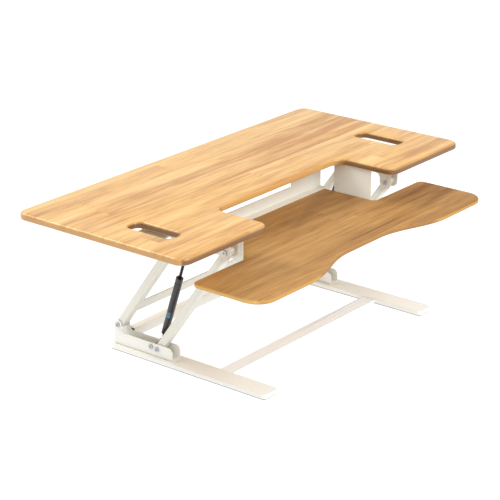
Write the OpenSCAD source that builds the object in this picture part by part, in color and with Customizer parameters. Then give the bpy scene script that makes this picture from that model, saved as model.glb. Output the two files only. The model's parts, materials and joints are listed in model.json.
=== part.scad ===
// Height adjustable standing desk converter: a worktop and a keyboard tray carried on a
// parallelogram lift with gas springs. X is the width, the user stands on the -Y side, Z is up.
// The origin is on the floor plane, at the middle of the plan outline.

/* [Worktop] */
// Width of the worktop
top_w = 1200; // [1100:10:1300]
// Depth of the worktop from back edge to wing fronts
top_d = 562; // [540:2:600]
// Thickness of the worktop board
top_t = 18; // [15:1:22]
// Radius of the outer corners
top_corner_r = 30; // [10:1:45]
// Width of the front cutout
cut_w = 538; // [500:2:560]
// Depth of the front cutout
cut_d = 182; // [150:2:200]
// Radius of the two inner corners of the cutout
cut_r = 38; // [15:1:50]
// Width of each hand slot
slot_w = 50; // [40:1:56]
// Length of each hand slot
slot_l = 148; // [120:2:170]

/* [Keyboard tray] */
// Width of the tray across its wings
tray_w = 996; // [940:2:1040]
// Thickness of the tray board
tray_t = 12; // [10:1:15]
// Height from the tray surface up to the worktop surface
tray_drop = 103; // [100:1:110]
// Depth of the wrist recess in the front edge
recess_d = 54; // [20:1:60]
// Radius of the front corners
tray_corner_r = 55; // [30:1:60]

/* [Lift] */
// Distance between the two pivots of each arm
arm_l = 401.5; // [400:0.5:403]
// Lean of the arms from upright, towards the user
arm_lean = 35.7; // [35:0.1:36.5]
// Width of each arm seen from the side
arm_w = 20; // [16:1:21]
// Depth of each arm along X
arm_t = 26; // [20:1:26]
// Diameter of the gas spring cylinder
spring_d = 20; // [15:1:20]

/* [Base] */
// Length of each foot
foot_l = 524; // [510:1:530]
// Width of each foot
foot_w = 58; // [54:1:62]
// Height of the top of each foot above the floor
foot_h = 13; // [12:1:15]
// Width of the flat strip that joins the feet
strip_w = 42; // [30:1:50]

/* [Hidden] */
$fn = 48;

steel = "ivory";
oak = "burlywood";
zinc = "silver";
dark = "dimgray";

// Pivots as [y, z], from the base upwards
rear_base = [237, 69];
front_base = [99, 35];
spring_base = [120, 38];
reach = [-arm_l * sin(arm_lean), arm_l * cos(arm_lean)];
rear_top = rear_base + reach;
front_top = front_base + reach;
spring_vec = rear_top - spring_base;
spring_len = norm(spring_vec);
spring_lean = atan2(-spring_vec[0], spring_vec[1]);

// Heights and depths of the two boards
rear_pivot_drop = 14;
lug_r = 18.5;
rear_lug_r = 16;
under_z = rear_top[1] + rear_pivot_drop;
top_z = under_z + top_t;
half_depth = 359;
top_back = half_depth;
top_front = top_back - top_d;
cut_back = top_front + cut_d;
wing_corner_r = 28;
slot_x = 482;
slot_y = -5;
slot_r = 20;
tray_z = top_z - tray_drop;
tray_under = tray_z - tray_t;
tray_front = -half_depth;
wing_back = -138;
tongue_back = 51.2;
tongue_half = 276.7;
recess_flat = 70;
recess_end = 300;
recess_steps = 16;

// Channels that hold the pivots
channel_in = 330;
channel_out = 364;
wall = 2.5;
sheet = 2.5;
arm_out = 360;
arm_in = arm_out - arm_t;
gap = 0.3;
fit = 0.15;
run = 0.06;
open_fit = 0.4;

// Fasteners
bolt_r = 4;
head_r = 6.5;
head_h = 3.5;
nut_r = 6.5;
nut_h = 2.6;
hex_r = 2.9;
screw_r = 2;
screw_head_r = 4.5;
screw_head_h = 2;
screw_bite = 11;

// Gas spring
spring_x = 317;
rod_r = 4;
cyl_len = 205;
piston_z = 130;
eye_t = 8;
eye_r = 9;

// Hangers of the tray
plate_in = 277;
plate_t = 3;
plate_front = -124;
plate_back = 0;
flange_w = 26;
beam_half = 283;
beam_front = 30;
beam_back = 54;
beam_h = 34;
tab_top_in = 138;
tab_low_in = 151;

// Base
foot_x = 347;
foot_front = -271;
foot_floor = 1.5;
foot_wall = 2.5;
foot_skin = 2.5;
foot_front_r = 12;
foot_rear_r = 5;
bracket_front = 47;
bracket_h = 35.5;
bend_r = 4;
ear_r = 13;
strip_front = -118;
strip_h = 7;
strip_sheet = 2;
tube_front = 208;
tube_low = 30;
tube_size = [24, 25];
tube_wall = 1.5;
pad_l = 38;

// Release handles
paddle_pin = [430, 398];
paddle_ends = [-22, 78];
pin_r = 2;

// Screw places as [x, y]
rail_screw_at = [for (y = [-90, -45, -20]) [346, y]];
plate_screw_at = [for (y = [-100, -24]) [294, y]];
tab_screw_at = [for (x = [170, 255]) [x, beam_back + 13]];
beam_screw_at = [for (x = [60, 240]) [x, 40]];
flange_screw_at = [for (y = [-100, -24]) [262, y]];
bracket_screw_at = [for (y = [0, 56]) [418, y]];
foot_screw_at = [for (y = [75, 150, 190]) [foot_x, y]];
strip_screw_at = [for (y = [-108, -86]) [foot_x - 18, y]];

// A side outline drawn as [y, z], as thick as from x0 to x1
module side_slab(x0, x1) {
    translate([x0, 0, 0]) rotate([90, 0, 90]) linear_extrude(x1 - x0) children();
}

// A round bar along X
module x_bar(x0, x1, at, r) {
    translate([x0, at[0], at[1]]) rotate([0, 90, 0]) cylinder(r = r, h = x1 - x0);
}

// A flat ring along X
module x_ring(x0, x1, at, r_out, r_in) {
    difference() {
        x_bar(x0, x1, at, r_out);
        x_bar(x0 - 1, x1 + 1, at, r_in);
    }
}

module left() {
    mirror([1, 0, 0]) children();
}

module both_sides() {
    children();
    left() children();
}

module rounded_box2d(w, d, r) {
    square([w - 2 * r, d], center = true);
    square([w, d - 2 * r], center = true);
    for (x = [-1, 1], y = [-1, 1]) translate([x * (w / 2 - r), y * (d / 2 - r)]) circle(r);
}

// What is left of a square corner outside its rounding, with the corner at the origin
module corner_waste(r) {
    difference() {
        square(r);
        translate([r, r]) circle(r);
    }
}

// A wood screw that enters from below, with its head under z
module screw_up(at, z, bite) {
    translate([at[0], at[1], z - screw_head_h]) cylinder(r = screw_head_r, h = screw_head_h);
    translate([at[0], at[1], z - screw_head_h / 2]) cylinder(r = screw_r, h = screw_head_h / 2 + bite);
}

module screw_holes(points, z0, z1) {
    for (p = points) translate([p[0], p[1], z0]) cylinder(r = screw_r + fit, h = z1 - z0);
}

// Worktop with the front cutout and two hand slots
module worktop_outline() {
    difference() {
        translate([0, (top_back + top_front) / 2]) rounded_box2d(top_w, top_d, top_corner_r);
        translate([0, (cut_back + top_front) / 2 - 50]) rounded_box2d(cut_w, cut_d + 100, cut_r);
        for (s = [0, 1]) mirror([s, 0]) {
            translate([cut_w / 2, top_front]) corner_waste(wing_corner_r);
            translate([slot_x, slot_y]) rounded_box2d(slot_w, slot_l, slot_r);
        }
    }
}

module worktop() {
    pilots = concat(rail_screw_at, plate_screw_at, tab_screw_at, bracket_screw_at);
    color(oak) difference() {
        translate([0, 0, under_z]) linear_extrude(top_t) worktop_outline();
        both_sides() screw_holes(pilots, under_z - 1, under_z + screw_bite + 1);
    }
}

// Front edge of the tray: flat in the middle, then an S curve out to each wing
function recess_at(x) = let (t = (x - recess_flat) / (recess_end - recess_flat))
    recess_d * (1 + cos(180 * t)) / 2;

module recess_outline() {
    steps = [for (i = [0 : recess_steps]) recess_flat + (recess_end - recess_flat) * i / recess_steps];
    polygon(concat(
        [for (i = [recess_steps : -1 : 0]) [-steps[i], tray_front + recess_at(steps[i])]],
        [for (x = steps) [x, tray_front + recess_at(x)]],
        [[recess_end, tray_front - 10], [-recess_end, tray_front - 10]]
    ));
}

module tray_outline() {
    wing_d = wing_back - tray_front;
    back_r = 20;
    root_r = 12;
    difference() {
        union() {
            translate([-tray_w / 2, tray_front]) square([tray_w, wing_d]);
            translate([-tongue_half, tray_front + wing_d / 2])
                square([2 * tongue_half, tongue_back - tray_front - wing_d / 2]);
            for (s = [0, 1]) mirror([s, 0])
                translate([tongue_half, wing_back]) corner_waste(root_r);
        }
        recess_outline();
        for (s = [0, 1]) mirror([s, 0]) {
            translate([tray_w / 2, tray_front]) mirror([1, 0]) corner_waste(tray_corner_r);
            translate([tray_w / 2, wing_back]) mirror([1, 0]) mirror([0, 1]) corner_waste(back_r);
        }
    }
}

module keyboard_tray() {
    color(oak) difference() {
        translate([0, 0, tray_under]) linear_extrude(tray_t) tray_outline();
        both_sides() {
            screw_holes(beam_screw_at, tray_under - 1, tray_z + 1);
            screw_holes(flange_screw_at, tray_under - 1, tray_under + 9);
        }
    }
}

// Folded sheet beam behind the tray, with two tabs up to the worktop
module tray_rear_beam() {
    color(steel) difference() {
        union() {
            translate([-beam_half, beam_front, tray_z])
                cube([2 * beam_half, beam_back - beam_front, sheet]);
            translate([-beam_half, beam_back - sheet, tray_z]) cube([2 * beam_half, sheet, beam_h]);
            both_sides() {
                translate([0, beam_back, tray_z + beam_h - 1]) rotate([90, 0, 0]) linear_extrude(sheet)
                    polygon([
                        [tab_low_in, 0], [beam_half, 0],
                        [beam_half, under_z - tray_z - beam_h + 1],
                        [tab_top_in, under_z - tray_z - beam_h + 1]
                    ]);
                translate([tab_top_in, beam_back - sheet, under_z - sheet])
                    cube([beam_half - tab_top_in, flange_w + sheet, sheet]);
            }
        }
        both_sides() {
            screw_holes(tab_screw_at, under_z - sheet - 1, under_z + 1);
            screw_holes(beam_screw_at, tray_z - 1, tray_z + sheet - gap);
        }
    }
}

// Side plate that hangs the tray from the worktop, with a flange at each end
module side_plate() {
    color(steel) difference() {
        translate([0, plate_front, 0]) union() {
            translate([plate_in, 0, tray_under - sheet])
                cube([plate_t, plate_back - plate_front, under_z - tray_under + sheet]);
            translate([plate_in, 0, under_z - sheet])
                cube([flange_w, plate_back - plate_front, sheet]);
            translate([plate_in + plate_t - flange_w - 4, 0, tray_under - sheet])
                cube([flange_w + 4, plate_back - plate_front, sheet]);
        }
        screw_holes(plate_screw_at, under_z - sheet - 1, under_z + 1);
        screw_holes(flange_screw_at, tray_under - sheet - 1, tray_under + 1);
    }
}

module left_side_plate() {
    left() side_plate();
}

module right_side_plate() {
    side_plate();
}

// Channel under the worktop, with a long lug for the front pivot and a short one for the rear
module top_rail_outline() {
    rail_low = under_z - 25;
    fillet = 14;
    difference() {
        union() {
            translate([front_top[0] - lug_r, rail_low])
                square([rear_top[0] + rear_lug_r - front_top[0] + lug_r, under_z - rail_low]);
            translate([front_top[0] - lug_r, front_top[1]])
                square([2 * lug_r, under_z - front_top[1]]);
            translate(front_top) circle(lug_r);
            translate(rear_top) circle(rear_lug_r);
            translate([front_top[0] + lug_r, rail_low]) mirror([0, 1]) corner_waste(fillet);
        }
        translate(front_top) circle(bolt_r + fit);
        translate(rear_top) circle(bolt_r + fit);
        translate([front_top[0] - lug_r - 1, under_z]) square([lug_r * 20, rear_lug_r]);
    }
}

module top_rail() {
    color(steel) difference() {
        union() {
            side_slab(channel_in, channel_in + wall) top_rail_outline();
            side_slab(channel_out - wall, channel_out) top_rail_outline();
            translate([channel_in, front_top[0] - lug_r, under_z - sheet])
                cube([channel_out - channel_in, rear_top[0] - front_top[0] + lug_r + rear_lug_r, sheet]);
        }
        screw_holes(rail_screw_at, under_z - sheet - 1, under_z + 1);
    }
}

module left_top_rail() {
    left() top_rail();
}

module right_top_rail() {
    top_rail();
}

// A bolt along X from x0 outwards, with a socket head outside the channel
module socket_bolt(x0, at) {
    difference() {
        union() {
            x_bar(x0, channel_out + head_h / 2, at, bolt_r);
            x_bar(channel_out + 0.1, channel_out + head_h, at, head_r);
        }
        translate([channel_out + head_h / 3, at[0], at[1]]) rotate([0, 90, 0])
            cylinder(r = hex_r, h = head_h, $fn = 6);
    }
}

// A pivot bolt through both walls of a channel, and its nut on the inner side
module pivot_bolt(at) {
    socket_bolt(channel_in - nut_h, at);
}

module pivot_nut(at) {
    x_ring(channel_in - nut_h, channel_in - 0.1, at, nut_r, bolt_r + run);
}

// A washer on each side of an arm, inside the channel
module pivot_washers(at) {
    x_ring(channel_in + wall + gap, arm_in - gap, at, 8, bolt_r + fit);
    x_ring(arm_out + gap, channel_out - wall - gap, at, 8, bolt_r + fit);
}

module top_pivot_bolts() {
    color(zinc) both_sides() {
        pivot_bolt(front_top);
        pivot_bolt(rear_top);
    }
}

module top_pivot_nuts() {
    color(zinc) both_sides() {
        pivot_nut(front_top);
        pivot_nut(rear_top);
    }
}

module top_pivot_washers() {
    color(dark) both_sides() {
        pivot_washers(front_top);
        pivot_washers(rear_top);
    }
}

module rail_screws() {
    color(dark) both_sides() for (p = rail_screw_at) screw_up(p, under_z - sheet, sheet + screw_bite);
}

module hanger_screws() {
    color(dark) both_sides()
        for (p = concat(plate_screw_at, tab_screw_at)) screw_up(p, under_z - sheet, sheet + screw_bite);
}

module tray_screws() {
    color(dark) both_sides() {
        for (p = flange_screw_at) screw_up(p, tray_under - sheet, sheet + 8);
        for (p = beam_screw_at) screw_up(p, tray_under, tray_t + sheet - 2 * gap);
    }
}

// Bracket beside the hand slot: a plate under the worktop with an ear at each end for the pin
module release_bracket() {
    ear = 2;
    pin_x = paddle_pin[0];
    pin_z = paddle_pin[1];
    ends = paddle_ends;
    color(steel) difference() {
        union() {
            translate([410, ends[0], under_z - 2]) cube([pin_x - 410 + 5, ends[1] - ends[0], 2]);
            for (y = [ends[0], ends[1] - ear]) translate([0, y, 0]) {
                translate([pin_x - 5, 0, pin_z]) cube([10, ear, under_z - pin_z]);
                translate([pin_x, ear, pin_z]) rotate([90, 0, 0]) cylinder(r = 5, h = ear);
            }
        }
        translate([pin_x, ends[1] + 1, pin_z]) rotate([90, 0, 0])
            cylinder(r = pin_r + fit, h = ends[1] - ends[0] + 2);
        screw_holes(bracket_screw_at, under_z - 3, under_z + 1);
    }
}

module left_release_bracket() {
    left() release_bracket();
}

module right_release_bracket() {
    release_bracket();
}

module release_pins() {
    color(dark) both_sides()
        translate([paddle_pin[0], paddle_ends[1] + 1.5, paddle_pin[1]]) rotate([90, 0, 0])
            cylinder(r = pin_r, h = paddle_ends[1] - paddle_ends[0] + 3);
}

module bracket_screws() {
    color(dark) both_sides() for (p = bracket_screw_at) screw_up(p, under_z - 2, 2 + screw_bite);
}

// Paddle under the hand slot, rolled around its pin, with one corner cut off
module release_paddle() {
    end_gap = 2.6;
    y0 = paddle_ends[0] + end_gap;
    y1 = paddle_ends[1] - end_gap;
    knuckle_r = 4;
    tip = 500;
    color(steel) difference() {
        union() {
            translate([paddle_pin[0], y1, paddle_pin[1]]) rotate([90, 0, 0])
                cylinder(r = knuckle_r, h = y1 - y0);
            translate([0, 0, paddle_pin[1] - knuckle_r]) linear_extrude(2.5)
                polygon([
                    [paddle_pin[0], y0 + 8], [paddle_pin[0] + 14, y0 + 8], [paddle_pin[0] + 30, y0],
                    [tip - 8, y0], [tip, y0 + 8], [tip, y1 - 8], [tip - 8, y1], [paddle_pin[0], y1]
                ]);
        }
        translate([paddle_pin[0], y1 + 1, paddle_pin[1]]) rotate([90, 0, 0])
            cylinder(r = pin_r + run, h = y1 - y0 + 2);
    }
}

module left_release_paddle() {
    left() release_paddle();
}

module right_release_paddle() {
    release_paddle();
}

// Rectangular tube arm from pivot to pivot, with open rounded ends and a sleeve in each
module arm(foot_pivot, top_bore) {
    tube = 1.5;
    r = arm_w / 2;
    color(steel) translate([0, foot_pivot[0], foot_pivot[1]]) rotate([arm_lean, 0, 0]) difference() {
        union() {
            difference() {
                union() {
                    translate([arm_in, -r, 0]) cube([arm_t, arm_w, arm_l]);
                    x_bar(arm_in, arm_out, [0, 0], r);
                    x_bar(arm_in, arm_out, [0, arm_l], r);
                }
                translate([arm_in + tube, tube - r, -arm_w])
                    cube([arm_t - 2 * tube, arm_w - 2 * tube, arm_l + 2 * arm_w]);
            }
            x_bar(arm_in + tube / 2, arm_out - tube / 2, [0, 0], 7);
            x_bar(arm_in + tube / 2, arm_out - tube / 2, [0, arm_l], 7);
        }
        x_bar(arm_in - 1, arm_out + 1, [0, 0], bolt_r + run);
        x_bar(arm_in - 1, arm_out + 1, [0, arm_l], top_bore);
    }
}

module left_rear_arm() {
    left() arm(rear_base, bolt_r + run);
}

module right_rear_arm() {
    arm(rear_base, bolt_r + run);
}

module left_front_arm() {
    left() arm(front_base, bolt_r + open_fit);
}

module right_front_arm() {
    arm(front_base, bolt_r + open_fit);
}

// Flat bar welded between the rear arms, flush with their front faces
module rear_arm_crossbar() {
    bar_z = 57.5;
    bar = [3, 45];
    color(steel) translate([0, rear_base[0], rear_base[1]]) rotate([arm_lean, 0, 0])
        side_slab(-arm_in, arm_in) translate([-arm_w / 2, bar_z]) square(bar);
}

// The gas spring stands along its own axis, from its lower pivot
module spring_frame() {
    translate([spring_x, spring_base[0], spring_base[1]]) rotate([spring_lean, 0, 0]) children();
}

module spring_eye(z, bore) {
    translate([0, 0, z]) difference() {
        x_bar(-eye_t / 2, eye_t / 2, [0, 0], eye_r);
        x_bar(-eye_t, eye_t, [0, 0], bore);
    }
}

module spring_cylinder() {
    r = spring_d / 2;
    bore_r = r - 1.4;
    base_z = 30;
    guide = 16;
    groove_z = cyl_len - guide;
    color("black") spring_frame() {
        spring_eye(0, bolt_r + run);
        translate([0, 0, eye_r - 1.5]) cylinder(r = 5, h = base_z - eye_r);
        difference() {
            translate([0, 0, base_z - 4]) cylinder(r = r, h = cyl_len - base_z + 4);
            translate([0, 0, base_z]) cylinder(r = bore_r, h = cyl_len - base_z - guide);
            translate([0, 0, cyl_len - guide - 1]) cylinder(r = rod_r + run, h = guide + 2);
            translate([0, 0, groove_z]) difference() {
                cylinder(r = r + 1, h = 2);
                translate([0, 0, -1]) cylinder(r = r - 0.7, h = 4);
            }
        }
    }
}

module spring_rod() {
    color("black") spring_frame() {
        translate([0, 0, piston_z]) cylinder(r = rod_r, h = spring_len - piston_z - eye_r - 12);
        translate([0, 0, spring_len - eye_r - 13]) cylinder(r = 5.5, h = 14.5);
        spring_eye(spring_len, bolt_r + run);
    }
}

module spring_piston() {
    color(zinc) spring_frame() translate([0, 0, piston_z - 6])
        cylinder(r = spring_d / 2 - 1.4 - run, h = 6);
}

module spring_stud() {
    color(dark) spring_frame() translate([0, 0, spring_len]) {
        x_bar(-eye_t / 2 - 3, channel_in - nut_h - 0.5 - spring_x, [0, 0], bolt_r);
        x_bar(-eye_t / 2 - 3, -eye_t / 2 - 0.1, [0, 0], head_r);
    }
}

module left_spring_cylinder() {
    left() spring_cylinder();
}

module right_spring_cylinder() {
    spring_cylinder();
}

module left_spring_rod() {
    left() spring_rod();
}

module right_spring_rod() {
    spring_rod();
}

module left_spring_piston() {
    left() spring_piston();
}

module right_spring_piston() {
    spring_piston();
}

module left_spring_stud() {
    left() spring_stud();
}

module right_spring_stud() {
    spring_stud();
}

// Plan of a foot, inset from its sides, with wide front corners and tight rear ones
module foot_outline(inset) {
    half = foot_w / 2 - inset;
    y0 = foot_front + inset;
    y1 = foot_front + foot_l - inset;
    translate([foot_x, 0]) difference() {
        translate([-half, y0]) square([2 * half, y1 - y0]);
        for (s = [0, 1]) mirror([s, 0]) {
            translate([-half, y0]) corner_waste(foot_front_r - inset);
            translate([-half, y1]) mirror([0, 1]) corner_waste(foot_rear_r - inset);
        }
    }
}

// Foot: a shallow channel, open below, notched on its inner side for the strip
module foot() {
    color(steel) difference() {
        translate([0, 0, foot_floor]) linear_extrude(foot_h - foot_floor) foot_outline(0);
        translate([0, 0, foot_floor - 1]) linear_extrude(foot_h - foot_floor - foot_skin + 1)
            foot_outline(foot_wall);
        translate([foot_x - foot_w / 2 - 1, strip_front - gap, foot_floor - 1])
            cube([foot_wall + 2, strip_w + 2 * gap, foot_h - foot_skin - foot_floor + 1]);
        screw_holes(foot_screw_at, foot_h - foot_skin - 1, foot_h + 1);
        screw_holes(strip_screw_at, foot_h - foot_skin - 1, foot_h - gap);
    }
}

module left_foot() {
    left() foot();
}

module right_foot() {
    foot();
}

// Base bracket: an upright channel with a tall ear for the rear pivot
module bracket_outline() {
    rear = rear_base[0] + ear_r;
    top = foot_h + bracket_h;
    nose_r = 14;
    fillet = 12;
    difference() {
        union() {
            translate([bracket_front, foot_h]) square([rear - bracket_front, bracket_h]);
            translate([rear - 2 * ear_r, foot_h]) square([2 * ear_r, rear_base[1] - foot_h]);
            translate(rear_base) circle(ear_r);
            translate([rear - 2 * ear_r, top]) mirror([1, 0]) corner_waste(fillet);
        }
        translate([bracket_front, top]) mirror([0, 1]) corner_waste(nose_r);
        translate(rear_base) circle(bolt_r + fit);
        translate(front_base) circle(bolt_r + fit);
        translate(spring_base) circle(bolt_r + fit);
    }
}

// Cross-section of the bracket: a floor and two walls joined by rolled bends
module bracket_section() {
    w = channel_out - channel_in;
    h = rear_base[1] + ear_r - foot_h;
    difference() {
        square([w, h]);
        for (s = [0, 1]) translate([s * w, 0]) mirror([s, 0]) corner_waste(bend_r);
        difference() {
            translate([wall, wall]) square([w - 2 * wall, h]);
            for (s = [0, 1]) translate([wall + s * (w - 2 * wall), wall]) mirror([s, 0])
                corner_waste(bend_r - wall);
        }
    }
}

module base_bracket() {
    length = rear_base[0] + ear_r - bracket_front;
    color(steel) difference() {
        intersection() {
            translate([channel_in, bracket_front + length, foot_h]) rotate([90, 0, 0])
                linear_extrude(length) bracket_section();
            side_slab(channel_in - 1, channel_out + 1) bracket_outline();
        }
        screw_holes(foot_screw_at, foot_h - 1, foot_h + wall + 1);
    }
}

module left_base_bracket() {
    left() base_bracket();
}

module right_base_bracket() {
    base_bracket();
}

// Box tube between the two brackets, at the rear
module base_rear_tube() {
    color(steel) side_slab(-channel_in, channel_in) translate([tube_front, tube_low]) difference() {
        square(tube_size);
        translate([tube_wall, tube_wall]) square(tube_size - [2 * tube_wall, 2 * tube_wall]);
    }
}

// Shallow folded channel, open below, whose ends sit under the tops of the feet
module base_front_strip() {
    half = foot_x - 6;
    top = foot_h - foot_skin;
    color(steel) difference() {
        side_slab(-half, half) translate([strip_front, top - strip_h]) difference() {
            square([strip_w, strip_h]);
            translate([strip_sheet, -1]) square([strip_w - 2 * strip_sheet, strip_h - strip_sheet + 1]);
        }
        both_sides() screw_holes(strip_screw_at, top - strip_sheet - 1, top + 1);
    }
}

module base_pivot_bolts() {
    color(zinc) both_sides() {
        pivot_bolt(rear_base);
        pivot_bolt(front_base);
    }
}

module base_pivot_nuts() {
    color(zinc) both_sides() {
        pivot_nut(rear_base);
        pivot_nut(front_base);
    }
}

module base_pivot_washers() {
    color(dark) both_sides() {
        pivot_washers(rear_base);
        pivot_washers(front_base);
    }
}

// Long bolt that carries the lower eye of the gas spring, inboard of the bracket
module spring_pivot_bolts() {
    color(zinc) both_sides() socket_bolt(spring_x - eye_t / 2 - 0.6 - nut_h, spring_base);
}

module spring_pivot_nuts() {
    outer = spring_x - eye_t / 2 - 0.5;
    color(zinc) both_sides() {
        x_ring(outer - nut_h, outer, spring_base, nut_r, bolt_r + run);
        x_ring(spring_x + eye_t / 2 + 0.5, channel_in - 0.1, spring_base, nut_r, bolt_r + fit);
    }
}

// Rubber sole under each foot, with a block at each end that fills the foot
module foot_pads() {
    inset = foot_wall + gap;
    sole_inset = 0.5;
    color("black") both_sides() {
        linear_extrude(foot_floor) foot_outline(sole_inset);
        for (y = [foot_front + inset, foot_front + foot_l - inset - pad_l])
            linear_extrude(foot_h - foot_skin) intersection() {
                foot_outline(inset);
                translate([foot_x - foot_w / 2, y]) square([foot_w, pad_l]);
            }
    }
}

// Screws that hold each bracket down on its foot, from above
module foot_screws() {
    color(dark) both_sides() for (p = foot_screw_at) {
        translate([p[0], p[1], foot_h + wall]) cylinder(r = screw_head_r, h = screw_head_h);
        translate([p[0], p[1], foot_floor + 4]) cylinder(r = screw_r, h = foot_h + wall - foot_floor - 3);
    }
}

// Screws that hold the strip up against the feet, from below
module strip_screws() {
    color(dark) both_sides() for (p = strip_screw_at)
        screw_up(p, foot_h - foot_skin - strip_sheet, strip_sheet + foot_skin - 2 * gap);
}

worktop();
keyboard_tray();
tray_rear_beam();
left_side_plate();
right_side_plate();
left_top_rail();
right_top_rail();
top_pivot_bolts();
top_pivot_nuts();
top_pivot_washers();
rail_screws();
hanger_screws();
tray_screws();
left_release_bracket();
right_release_bracket();
release_pins();
bracket_screws();
left_release_paddle();
right_release_paddle();
left_rear_arm();
right_rear_arm();
rear_arm_crossbar();
left_front_arm();
right_front_arm();
left_spring_cylinder();
right_spring_cylinder();
left_spring_rod();
right_spring_rod();
left_spring_piston();
right_spring_piston();
left_spring_stud();
right_spring_stud();
left_foot();
right_foot();
left_base_bracket();
right_base_bracket();
base_rear_tube();
base_front_strip();
base_pivot_bolts();
base_pivot_nuts();
base_pivot_washers();
spring_pivot_bolts();
spring_pivot_nuts();
foot_pads();
foot_screws();
strip_screws();
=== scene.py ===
"""Looks of the height adjustable standing desk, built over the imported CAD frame."""

import json
import math

import bmesh
import bpy
from mathutils import Matrix, Vector


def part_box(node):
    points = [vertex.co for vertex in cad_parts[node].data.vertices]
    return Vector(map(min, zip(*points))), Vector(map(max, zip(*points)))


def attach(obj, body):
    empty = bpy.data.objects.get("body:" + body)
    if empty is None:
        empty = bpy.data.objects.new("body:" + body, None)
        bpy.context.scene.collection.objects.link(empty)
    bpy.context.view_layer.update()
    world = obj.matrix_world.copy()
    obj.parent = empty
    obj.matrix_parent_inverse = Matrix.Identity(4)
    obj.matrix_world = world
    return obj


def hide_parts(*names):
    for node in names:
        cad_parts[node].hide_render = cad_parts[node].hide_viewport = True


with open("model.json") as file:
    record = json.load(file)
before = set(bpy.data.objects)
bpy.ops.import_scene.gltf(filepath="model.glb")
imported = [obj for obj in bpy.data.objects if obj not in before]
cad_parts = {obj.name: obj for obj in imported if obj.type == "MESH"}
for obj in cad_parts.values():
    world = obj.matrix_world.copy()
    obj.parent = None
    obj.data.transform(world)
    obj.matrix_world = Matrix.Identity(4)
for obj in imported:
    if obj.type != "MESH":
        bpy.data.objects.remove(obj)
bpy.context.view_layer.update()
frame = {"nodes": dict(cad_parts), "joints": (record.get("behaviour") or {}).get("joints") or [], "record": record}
NODES = frame["nodes"]
RECORD = frame["record"]
BODY_OF = {n: body for body, names in RECORD["behaviour"]["bodies"].items() for n in names}
SLOT_OF = {s["node"]: s["material_slot"] for s in RECORD["subparts"]}
JOINT = {j["name"]: j for j in frame["joints"]}
SIDES = {"left": -1, "right": 1}
MM = 0.001


# Camera: a long lens to the left of the front, about 20 degrees above the horizon
def add_camera():
    azimuth, elevation, roll = math.radians(-51.035), math.radians(20.777), math.radians(-0.251)
    forward = Vector((
        -math.sin(azimuth) * math.cos(elevation),
        math.cos(azimuth) * math.cos(elevation),
        -math.sin(elevation),
    ))
    right = forward.cross(Vector((0, 0, 1))).normalized()
    up = right.cross(forward)
    level_right, level_up = right.copy(), up.copy()
    right = level_right * math.cos(roll) + level_up * math.sin(roll)
    up = level_up * math.cos(roll) - level_right * math.sin(roll)
    data = bpy.data.cameras.new("camera")
    data.sensor_width = 36
    data.lens = 133.84
    data.clip_start, data.clip_end = 0.05, 60
    place = Vector((-3.6843, -2.9016, 2.0081))
    camera = bpy.data.objects.new("camera", data)
    bpy.context.scene.collection.objects.link(camera)
    basis = Matrix((right, up, -forward)).transposed().to_4x4()
    camera.matrix_world = Matrix.Translation(place) @ basis
    bpy.context.scene.camera = camera


add_camera()


# Materials, all procedural and in the frame's own coordinates
class Graph:
    """A material's node tree with short calls to add and join nodes."""

    def __init__(self, name):
        self.material = bpy.data.materials.new(name)
        self.material.use_nodes = True
        self.tree = self.material.node_tree
        self.shader = self.tree.nodes["Principled BSDF"]
        self.place = self.add("ShaderNodeTexCoord").outputs["Object"]

    def add(self, kind, inputs=None, **settings):
        node = self.tree.nodes.new(kind)
        for key, value in settings.items():
            setattr(node, key, value)
        for key, value in (inputs or {}).items():
            self.put(node.inputs[key], value)
        return node

    def put(self, socket, value):
        if isinstance(value, bpy.types.NodeSocket):
            self.tree.links.new(value, socket)
        else:
            socket.default_value = value

    def math(self, operation, a, b=0.0):
        return self.add("ShaderNodeMath", {0: a, 1: b}, operation=operation).outputs[0]

    def stretched(self, x, y, z, offset=None):
        """The place with each axis multiplied and, with an offset, moved along X and Z."""
        place = self.add("ShaderNodeVectorMath", {0: self.place, 1: (x, y, z)}, operation="MULTIPLY")
        if offset is None:
            return place.outputs[0]
        move = self.add("ShaderNodeCombineXYZ", {"X": offset, "Z": offset})
        return self.add(
            "ShaderNodeVectorMath", {0: place.outputs[0], 1: move.outputs[0]}, operation="ADD"
        ).outputs[0]

    def random(self, row, column):
        pair = self.add("ShaderNodeCombineXYZ", {"X": row, "Y": column}).outputs[0]
        white = self.add("ShaderNodeTexWhiteNoise", {"Vector": pair}, noise_dimensions="2D")
        return white.outputs["Value"]

    def noise(self, vector, scale, detail, roughness, distortion=0.0):
        return self.add("ShaderNodeTexNoise", {
            "Vector": vector, "Scale": scale, "Detail": detail,
            "Roughness": roughness, "Distortion": distortion,
        }).outputs["Fac"]

    def span(self, value, low, high, to_low=0.0, to_high=1.0):
        return self.add("ShaderNodeMapRange", {
            "Value": value, "From Min": low, "From Max": high, "To Min": to_low, "To Max": to_high,
        }).outputs["Result"]

    def mix(self, factor, a, b):
        node = self.add("ShaderNodeMix", data_type="RGBA", blend_type="MIX")
        for key, value in (("Factor_Float", factor), ("A_Color", a), ("B_Color", b)):
            socket = next(s for s in node.inputs if s.identifier == key)
            self.put(socket, value)
        return next(s for s in node.outputs if s.identifier == "Result_Color")

    def bump(self, height, distance, strength):
        node = self.add("ShaderNodeBump", {"Height": height, "Distance": distance, "Strength": strength})
        self.put(self.shader.inputs["Normal"], node.outputs["Normal"])

    def finish(self, color, roughness, **plain):
        self.put(self.shader.inputs["Base Color"], color)
        self.put(self.shader.inputs["Roughness"], roughness)
        for key, value in plain.items():
            self.put(self.shader.inputs[key.replace("_", " ")], value)
        return self.material


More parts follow.
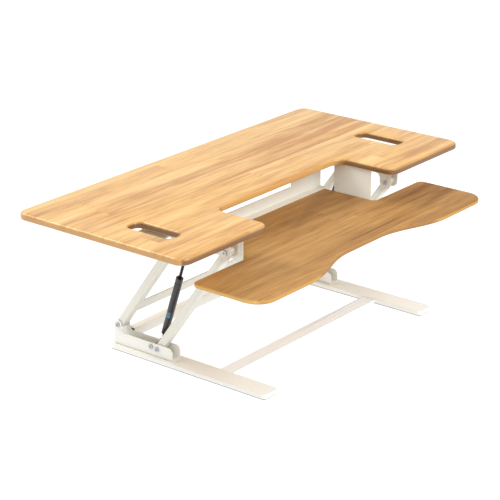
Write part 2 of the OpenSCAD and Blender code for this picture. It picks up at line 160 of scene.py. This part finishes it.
def linear(red, green, blue):
    """A colour given as 0 to 255 display values, as the shader's own linear colour."""
    def channel(value):
        value /= 255
        return value / 12.92 if value <= 0.04045 else ((value + 0.055) / 1.055) ** 2.4
    return (channel(red), channel(green), channel(blue), 1.0)


def scaled(color, factor):
    """A colour made lighter or darker, still opaque."""
    return tuple(c * factor for c in color[:3]) + (1.0,)


def wood(name, light, mid, dark, long_edge_painted_shading, end_grain_and_painted_shading, recess_edge_painted_shading, half, seed, coat, dull):
    """Glued boards along X: each one has its own tone, length and shift of the grain.

    The edges have their own colours, partly the grain and partly painted light and shade: the long
    ones, the outer ends (half the piece's width from the middle) and the recess in the middle. On the
    worktop the long edges are painted dark as shade and the recess edge lighter as light; on the tray
    the long and outer end edges are painted lighter as highlight and the recess edge darker as shade.
    """
    g = Graph(name)
    board_width, board_length = 0.058, 1.25
    ends_start, ends_full = half - 0.045, half - 0.030
    recess_start, recess_full = 0.27, 0.24
    parts = g.add("ShaderNodeSeparateXYZ", {"Vector": g.place})
    x, y = parts.outputs["X"], parts.outputs["Y"]
    across = g.math("ADD", g.math("DIVIDE", y, board_width), seed)
    strip = g.math("FLOOR", across)
    stagger = g.random(strip, seed)
    along = g.math("ADD", g.math("DIVIDE", x, board_length), g.math("MULTIPLY", stagger, 3.0))
    tone = g.random(strip, g.math("FLOOR", along))
    shift = g.math("MULTIPLY", tone, 9.0)

    flow = g.noise(g.stretched(1.3, 8, 8, shift), 1.0, 3.0, 0.55)
    bands = g.math("ADD", g.math("MULTIPLY", flow, 30.0), g.math("MULTIPLY", y, 210.0))
    rings = g.math("ADD", g.math("MULTIPLY", g.math("SINE", bands), 0.5), 0.5)
    streaks = g.noise(g.stretched(1.8, 26, 26, shift), 1.0, 6.0, 0.64, 0.7)
    fine_streaks = g.noise(g.stretched(9, 120, 120, shift), 1.0, 4.0, 0.66, 0.6)
    fibres = g.noise(g.stretched(9, 620, 620, shift), 1.0, 3.0, 0.6)
    pores = g.span(g.noise(g.stretched(46, 1500, 1500, shift), 1.0, 1.0, 0.5), 0.30, 0.40)
    clouds = g.noise(g.stretched(2.0, 9, 9), 1.0, 3.0, 0.5)
    specks = g.span(g.noise(g.stretched(22, 150, 150, shift), 1.0, 2.0, 0.5), 0.66, 0.78)

    grain = g.math("MULTIPLY", g.span(streaks, 0.3, 0.7), 0.56)
    for layer, weight in (
        (rings, 0.05),
        (g.span(fine_streaks, 0.3, 0.7), 0.32),
        (g.span(clouds, 0.35, 0.65), 0.18),
        (tone, 0.24),
    ):
        grain = g.math("ADD", grain, g.math("MULTIPLY", layer, weight))
    ramp = g.add("ShaderNodeValToRGB", {"Fac": grain})
    stops = ramp.color_ramp.elements
    stops[0].position, stops[0].color = 0.26, light
    stops[1].position, stops[1].color = 1.0, dark
    middle = stops.new(0.64)
    middle.color = mid
    fibred = g.mix(g.span(fibres, 0.35, 0.7, 0.0, 0.30), ramp.outputs["Color"], dark)
    pored = g.mix(g.math("MULTIPLY", g.math("SUBTRACT", 1.0, pores), 0.14), fibred, dark)
    flecked = g.mix(g.math("MULTIPLY", specks, 0.35), pored, dark)

    normal = g.add("ShaderNodeNewGeometry").outputs["Normal"]
    facing = g.add("ShaderNodeSeparateXYZ", {"Vector": normal})
    facing_x, facing_y, flat = (g.math("ABSOLUTE", facing.outputs[axis]) for axis in "XYZ")
    # Edge colours, picked by which way an edge faces and where it lies: partly grain, partly painted light and
    # shade
    endwise = g.span(g.math("SUBTRACT", facing_x, facing_y), -0.05, 0.25)
    from_middle = g.math("ABSOLUTE", x)
    outer_end = g.math("MULTIPLY", g.span(from_middle, ends_start, ends_full), endwise)
    inner = g.span(from_middle, recess_start, recess_full)
    edge = g.mix(outer_end, g.mix(inner, long_edge_painted_shading, recess_edge_painted_shading), end_grain_and_painted_shading)
    with_painted_edge_shading = g.mix(g.span(flat, 0.10, 0.97, 0.92, 0.0), flecked, edge)
    seam = g.math("ABSOLUTE", g.math("SUBTRACT", g.math("FRACT", across), 0.5))
    butt = g.math("ABSOLUTE", g.math("SUBTRACT", g.math("FRACT", along), 0.5))
    joint = g.math("MAXIMUM", g.span(seam, 0.488, 0.499), g.span(butt, 0.4988, 0.4998))
    seamed = g.mix(g.math("MULTIPLY", joint, 0.22), with_painted_edge_shading, dark)
    g.bump(g.math("ADD", g.math("MULTIPLY", fibres, 0.5), g.math("MULTIPLY", pores, 0.5)), 0.00012, 0.5)
    rough = g.span(streaks, 0.3, 0.7, 0.34 + dull, 0.48 + dull)
    return g.finish(seamed, rough, Coat_Weight=coat, Coat_Roughness=0.14)


def powder_coat(name, color):
    g = Graph(name)
    fine = g.noise(g.place, 1150.0, 2.0, 0.5)
    broad = g.noise(g.place, 9.0, 2.0, 0.5)
    tinted = g.mix(g.span(broad, 0.3, 0.7, 0.0, 0.10), color, scaled(color, 0.86))
    g.bump(fine, 0.00006, 0.6)
    return g.finish(tinted, g.span(fine, 0.3, 0.7, 0.40, 0.50), Coat_Weight=0.08, Coat_Roughness=0.35)


def metal(name, color, low, high, brush=(400, 400, 400)):
    g = Graph(name)
    scratches = g.noise(g.stretched(*brush), 1.0, 4.0, 0.6)
    g.bump(scratches, 0.00003, 0.5)
    tinted = g.mix(g.span(scratches, 0.3, 0.7, 0.0, 0.25), color, scaled(color, 0.7))
    return g.finish(tinted, g.span(scratches, 0.3, 0.7, low, high), Metallic=1.0)


def moulded(name, color, low, high):
    g = Graph(name)
    grainy = g.noise(g.place, 700.0, 3.0, 0.6)
    g.bump(grainy, 0.00008, 0.7)
    tinted = g.mix(g.span(grainy, 0.3, 0.7, 0.0, 0.3), color, scaled(color, 1.5))
    return g.finish(tinted, g.span(grainy, 0.3, 0.7, low, high))


def gloss_paint(name, color):
    g = Graph(name)
    peel = g.noise(g.place, 260.0, 2.0, 0.5)
    dust = g.noise(g.stretched(30, 30, 30), 1.0, 5.0, 0.65)
    g.bump(peel, 0.00005, 0.4)
    return g.finish(color, g.span(dust, 0.35, 0.7, 0.22, 0.34), Coat_Weight=0.5, Coat_Roughness=0.08)


LOOK = {
    "oak": wood(
        "worktop_oak",
        light=linear(239, 200, 130), mid=linear(222, 174, 98), dark=linear(180, 122, 48),
        # Worktop edge colours are painted shading: long edges dark as shade, recess edge lighter as light
        long_edge_painted_shading=linear(104, 64, 28), end_grain_and_painted_shading=linear(190, 142, 84), recess_edge_painted_shading=linear(196, 150, 84),
        half=0.6, seed=0.35, coat=0.45, dull=0.0,
    ),
    "tray_oak": wood(
        "tray_oak",
        light=linear(196, 151, 86), mid=linear(171, 125, 66), dark=linear(128, 86, 40),
        # Tray edge colours are painted shading: long and end edges lighter as highlight, recess edge darker as
        # shade
        long_edge_painted_shading=linear(184, 138, 66), end_grain_and_painted_shading=linear(214, 170, 94), recess_edge_painted_shading=linear(150, 104, 50),
        half=0.498, seed=11.8, coat=0.0, dull=0.22,
    ),
    "steel": powder_coat("cream_powder_coat", linear(224, 223, 212)),
    # The base and front strip coats are lighter, cooler copies of the cream coat: painted light for parts in shade
    # under the desk
    "base_steel_painted_lighter": powder_coat("base_powder_coat_painted_lighter", linear(236, 236, 229)),
    "strip_steel_painted_lighter": powder_coat("strip_powder_coat_painted_lighter", linear(246, 250, 252)),
    "zinc": metal("bright_zinc", linear(204, 206, 206), 0.26, 0.44),
    "bolt_zinc": metal("blued_zinc", linear(186, 190, 194), 0.16, 0.34),
    "dark": metal("black_oxide_steel", linear(92, 90, 88), 0.30, 0.48),
    "spring_black": gloss_paint("gloss_black_paint", linear(26, 26, 28)),
    "rod": metal("dark_coated_rod", linear(52, 52, 56), 0.18, 0.34, (1500, 1500, 20)),
    "rubber": moulded("black_rubber", linear(24, 24, 24), 0.65, 0.9),
    "nylon": moulded("natural_nylon", linear(204, 202, 194), 0.4, 0.6),
    "label": gloss_paint("blue_label", linear(44, 96, 122)),
    "label_band": gloss_paint("pale_label_band", linear(96, 150, 172)),
}


def dress(obj, look):
    obj.data.materials.clear()
    obj.data.materials.append(LOOK[look])
    for polygon in obj.data.polygons:
        polygon.material_index = 0


def smooth(mesh, degrees=32):
    for polygon in mesh.polygons:
        polygon.use_smooth = True
    mesh.set_sharp_from_angle(angle=math.radians(degrees))


def link(name, mesh):
    obj = bpy.data.objects.new(name, mesh)
    bpy.context.scene.collection.objects.link(obj)
    return obj


def applied(obj):
    """The piece with its modifiers made part of its mesh."""
    graph = bpy.context.evaluated_depsgraph_get()
    final = bpy.data.meshes.new_from_object(obj.evaluated_get(graph))
    obj.modifiers.clear()
    obj.data = final
    return obj


def cleaned_copy(node):
    """A CAD node's mesh with its triangles joined back into flat faces."""
    bm = bmesh.new()
    bm.from_mesh(NODES[node].data)
    bmesh.ops.remove_doubles(bm, verts=bm.verts, dist=0.002 * MM)
    bmesh.ops.dissolve_limit(
        bm, angle_limit=math.radians(0.4), verts=bm.verts, edges=bm.edges, delimit={"NORMAL"}
    )
    return bm


def finish_piece(obj, node, look, angle=32):
    dress(obj, look)
    smooth(obj.data, angle)
    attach(obj, BODY_OF[node])
    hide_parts(node)
    return obj


def softened(node, look, width, segments=2, axis=None):
    """Stands for a CAD node, with its sharp edges rounded over as on the real part.

    With an axis, only the edges of the faces square to it are rounded.
    """
    bm = cleaned_copy(node)
    if axis is not None:
        weight = bm.edges.layers.float.new("bevel_weight_edge")
        for edge in bm.edges:
            faces = edge.link_faces
            square = any(abs(f.normal.dot(axis)) > 0.999 and f.calc_area() > MM * MM for f in faces)
            if square and any(abs(f.normal.dot(axis)) < 0.5 for f in faces):
                edge[weight] = 1.0
    mesh = bpy.data.meshes.new(f"{node}_finished")
    bm.to_mesh(mesh)
    bm.free()
    obj = link(f"{node}_finished", mesh)
    bevel = obj.modifiers.new("edges", "BEVEL")
    bevel.limit_method = "ANGLE" if axis is None else "WEIGHT"
    bevel.angle_limit = math.radians(38)
    bevel.width = width
    bevel.segments = segments
    bevel.use_clamp_overlap = True
    return finish_piece(applied(obj), node, look)


def board(node, look, top_round, under_round):
    """A wooden board with its upper and lower edges rounded over, each by its own radius."""
    bm = cleaned_copy(node)
    low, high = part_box(node)
    weight = bm.edges.layers.float.new("bevel_weight_edge")
    hole_side = 0.4 * MM  # edges this short belong to screw holes, which stay as made
    for edge in bm.edges:
        if len(edge.link_faces) != 2:
            continue
        upright = sorted(abs(f.normal.z) for f in edge.link_faces)
        if upright[0] > 0.1 or upright[1] < 0.9 or edge.calc_length() < hole_side:
            continue
        height = (edge.verts[0].co.z + edge.verts[1].co.z) / 2
        if abs(height - high.z) < 0.1 * MM:
            edge[weight] = 1.0
        elif abs(height - low.z) < 0.1 * MM:
            edge[weight] = under_round / top_round
    mesh = bpy.data.meshes.new(f"{node}_board")
    bm.to_mesh(mesh)
    bm.free()
    obj = link(f"{node}_board", mesh)
    bevel = obj.modifiers.new("round", "BEVEL")
    bevel.limit_method = "WEIGHT"
    bevel.width = top_round
    bevel.segments = 6
    bevel.use_clamp_overlap = False
    return finish_piece(applied(obj), node, look, 30)


def spring_label(side):
    """A plain blue sticker with two pale bands, wrapped around the outer side of a gas spring."""
    sign = SIDES[side]
    stroke = JOINT[f"spring_{side}_stroke"]
    up = -Vector(stroke["axis"])
    foot = Vector(JOINT[f"spring_{side}_tilt"]["pos_m"])
    cad_low, cad_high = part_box(f"{side}_spring_cylinder")
    clear, thick = 0.15 * MM, 0.1 * MM
    radius = (cad_high.x - cad_low.x) / 2 + clear
    outward = Vector((sign, 0, 0))
    forward = up.cross(outward)
    start, length, half_turn, steps = 80 * MM, 18 * MM, math.radians(48), 16
    bands = {
        "label": (0.0, 1.0, 0.0),
        "label_band": (0.22, 0.34, thick),
        "label_band_2": (0.64, 0.72, thick),
    }
    for name, (low, high, lift) in bands.items():
        bm = bmesh.new()
        rows = []
        for part in (low, high):
            row = []
            for i in range(steps + 1):
                turn = -half_turn + 2 * half_turn * i / steps
                around = outward * math.cos(turn) + forward * math.sin(turn)
                row.append(bm.verts.new(foot + up * (start + part * length) + around * (radius + lift)))
            rows.append(row)
        for i in range(steps):
            bm.faces.new((rows[0][i], rows[0][i + 1], rows[1][i + 1], rows[1][i]))
        bmesh.ops.recalc_face_normals(bm, faces=bm.faces)
        bmesh.ops.solidify(bm, geom=bm.faces[:], thickness=thick)
        mesh = bpy.data.meshes.new(f"{side}_spring_{name}")
        bm.to_mesh(mesh)
        bm.free()
        piece = link(f"{side}_spring_{name}", mesh)
        dress(piece, "label" if name == "label" else "label_band")
        smooth(mesh)
        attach(piece, BODY_OF[f"{side}_spring_cylinder"])


board("worktop", "oak", 7.5 * MM, 3.0 * MM)
board("keyboard_tray", "tray_oak", 4.5 * MM, 4.5 * MM)

# Rounding of the steel parts' edges, in millimetres
SOFT_EDGES = {
    "tray_rear_beam": 0.6, "left_side_plate": 0.6, "right_side_plate": 0.6,
    "left_top_rail": 0.7, "right_top_rail": 0.7,
    "left_release_bracket": 0.4, "right_release_bracket": 0.4,
    "left_release_paddle": 0.5, "right_release_paddle": 0.5,
    "left_rear_arm": 0.7, "right_rear_arm": 0.7, "rear_arm_crossbar": 0.7,
    "left_front_arm": 0.7, "right_front_arm": 0.7,
    "left_foot": 1.0, "right_foot": 1.0, "left_base_bracket": 0.7, "right_base_bracket": 0.7,
    "base_rear_tube": 0.6, "base_front_strip": 0.8,
}
# Base parts and the front strip take the lighter copies of the cream coat: painted light for the shade under the
# desk
for node, width in SOFT_EDGES.items():
    look = "base_steel_painted_lighter" if BODY_OF[node] == "base" else "steel"
    softened(node, "strip_steel_painted_lighter" if node == "base_front_strip" else look, width * MM)
for side in SIDES:
    stroke_axis = Vector(JOINT[f"spring_{side}_stroke"]["axis"])
    softened(f"{side}_spring_cylinder", "spring_black", 0.9 * MM, 3, axis=stroke_axis)
for node in ("left_spring_rod", "right_spring_rod"):
    softened(node, "rod", 0.4 * MM)
for node in ("top_pivot_bolts", "base_pivot_bolts", "spring_pivot_bolts"):
    softened(node, "bolt_zinc", 0.6 * MM, 3)
softened("foot_screws", "dark", 0.6 * MM, 3)
softened("foot_pads", "rubber", 0.3 * MM)
for side in SIDES:
    spring_label(side)
# The CAD nodes that no finished piece stands for are shown as they are
shown_as_made = [n for n, o in NODES.items() if not o.hide_render]
for node in shown_as_made:
    dress(NODES[node], SLOT_OF[node])


# Stage: a pale floor that glows faintly, so that it reads as white, and soft lights
def add_stage():
    mesh = bpy.data.meshes.new("floor")
    half = 14
    mesh.from_pydata(
        [(-half, -half, 0), (half, -half, 0), (half, half, 0), (-half, half, 0)], [], [(0, 1, 2, 3)]
    )
    floor = link("floor", mesh)
    g = Graph("pale_floor")
    mottle = g.noise(g.place, 3.0, 2.0, 0.5)
    shade = g.mix(g.span(mottle, 0.3, 0.7), (0.30, 0.31, 0.33, 1.0), (0.32, 0.33, 0.35, 1.0))
    mesh.materials.append(g.finish(shade, 0.9, Emission_Color=(1, 1, 1, 1), Emission_Strength=0.82))
    floor.location.z = -0.0002


def area_light(name, place, target, size, power):
    data = bpy.data.lights.new(name, "AREA")
    data.shape = "DISK"
    data.size = size
    data.energy = power
    obj = bpy.data.objects.new(name, data)
    bpy.context.scene.collection.objects.link(obj)
    aim = (Vector(target) - Vector(place)).to_track_quat("-Z", "Y")
    obj.matrix_world = Matrix.Translation(place) @ aim.to_matrix().to_4x4()


add_stage()
area_light("key", (-0.9, 2.3, 3.0), (0.2, 0, 0.3), 1.6, 54)
area_light("fill", (-3.4, -1.6, 2.0), (0, 0, 0.2), 2.4, 3)
area_light("front", (-0.2, -2.7, 2.1), (0.0, -0.1, 0), 2.2, 70)
world = bpy.data.worlds.new("studio")
world.use_nodes = True
world.node_tree.nodes["Background"].inputs["Color"].default_value = (1, 1, 1, 1)
world.node_tree.nodes["Background"].inputs["Strength"].default_value = 0.86
scene = bpy.context.scene
scene.world = world
scene.view_settings.view_transform = "Standard"
scene.view_settings.look = "None"
